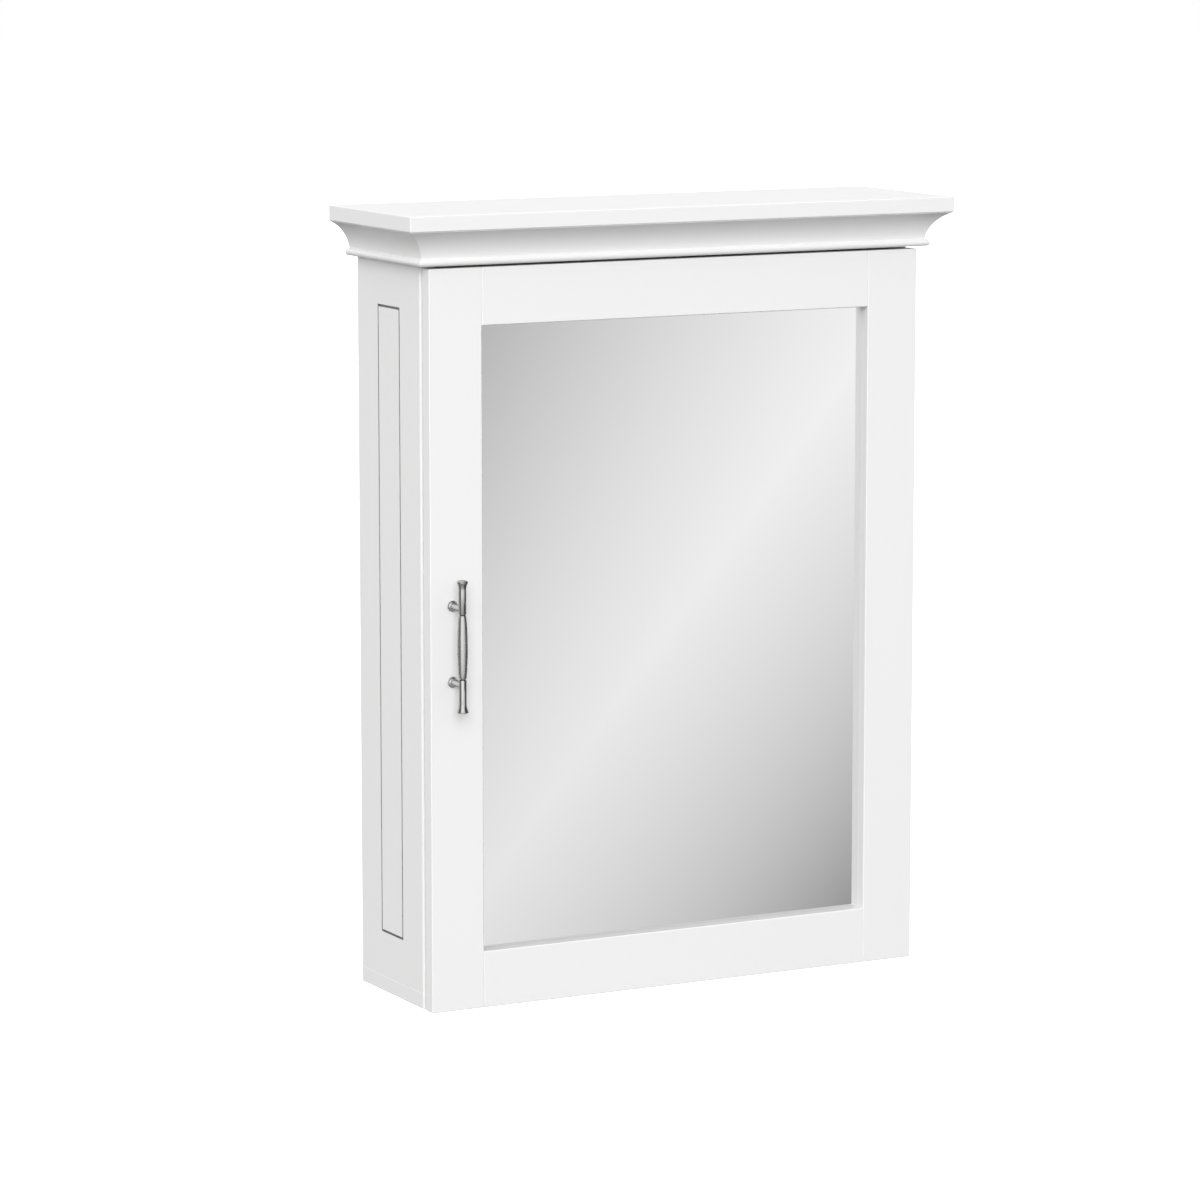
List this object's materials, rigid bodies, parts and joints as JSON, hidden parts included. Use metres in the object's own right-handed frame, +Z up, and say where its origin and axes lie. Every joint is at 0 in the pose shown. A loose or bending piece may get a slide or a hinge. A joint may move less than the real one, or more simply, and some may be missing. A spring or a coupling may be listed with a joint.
{
  "type": "hanging wall cabinet",
  "caption": "Hanging wall cabinet: mirrored frame door on side hinges, bar handle, coved cornice under a flat cap board, shelves on pins inside, hung by screws through a rail.",
  "frame": {"origin": "on the wall plane, midway between the two wall-screw holes in the hanging rail", "axes": "+X to the right of someone facing the door, +Y into the wall, +Z up"},
  "size_m": [0.6, 0.1886, 0.774],
  "materials": {
    "white_lacquer": "smooth white satin lacquer on fibreboard",
    "door_lacquer": "smooth white satin lacquer on fibreboard",
    "white_hardboard": "thin hardboard, white inside and brown behind",
    "brown_hardboard": "bare hardboard",
    "bare_pine": "planed pine",
    "beech": "turned beech, fluted",
    "mirror": "silvered float glass",
    "chrome": "polished",
    "satin_steel": "satin",
    "black_ring": "gloss black",
    "hinge_nickel": "nickel plated",
    "zinc_steel": "bright zinc plated",
    "cast_zinc": "tumbled die-cast zinc",
    "catch_plastic": "moulded, fine grain",
    "ferrite": "sintered ferrite",
    "clear_rubber": "translucent"
  },
  "bodies": {
    "carcass": {"left_side_panel": "white_lacquer", "right_side_panel": "white_lacquer", "bottom_board": "white_lacquer", "top_board": "white_lacquer", "cap_board": "white_lacquer", "cornice_front": "white_lacquer", "cornice_left": "white_lacquer", "cornice_right": "white_lacquer", "lower_shelf": "white_lacquer", "upper_shelf": "white_lacquer", "back_panel": "white_hardboard", "hanging_rail": "bare_pine", "cap_cleat_front": "bare_pine", "cap_cleat_back": "bare_pine", "cap_cleat_left": "bare_pine", "cap_cleat_right": "bare_pine", "carcass_dowels": "beech", "lower_hinge_carcass_leaf": "hinge_nickel", "lower_hinge_pin": "hinge_nickel", "upper_hinge_carcass_leaf": "hinge_nickel", "upper_hinge_pin": "hinge_nickel", "back_panel_nails": "zinc_steel", "cam_bolts": "zinc_steel", "cap_screws": "zinc_steel", "shelf_pins": "zinc_steel", "hinge_screws_carcass": "zinc_steel", "catch_pole_plates": "zinc_steel", "catch_screws": "zinc_steel", "cam_locks": "cast_zinc", "catch_housing": "catch_plastic", "catch_magnet": "ferrite", "door_bumpers": "clear_rubber"},
    "door": {"door_left_stile": "door_lacquer", "door_right_stile": "door_lacquer", "door_top_rail": "door_lacquer", "door_bottom_rail": "door_lacquer", "door_dowels": "beech", "mirror_glass": "mirror", "mirror_backing": "brown_hardboard", "backing_screws": "zinc_steel", "handle_grip": "satin_steel", "handle_upper_tube": "chrome", "handle_lower_tube": "chrome", "handle_neck_rings": "black_ring", "handle_upper_post": "chrome", "handle_lower_post": "chrome", "handle_screws": "zinc_steel", "lower_hinge_door_leaf": "hinge_nickel", "upper_hinge_door_leaf": "hinge_nickel", "hinge_screws_door": "zinc_steel", "strike_plate": "zinc_steel", "strike_screw": "zinc_steel"}
  },
  "joints": [
    {"name": "door_hinge", "type": "hinge", "parent": "carcass", "child": "door", "pos_m": [0.2732, -0.1436, -0.3334], "axis": [0, 0, 1], "range_deg": [0, 180]}
  ]
}
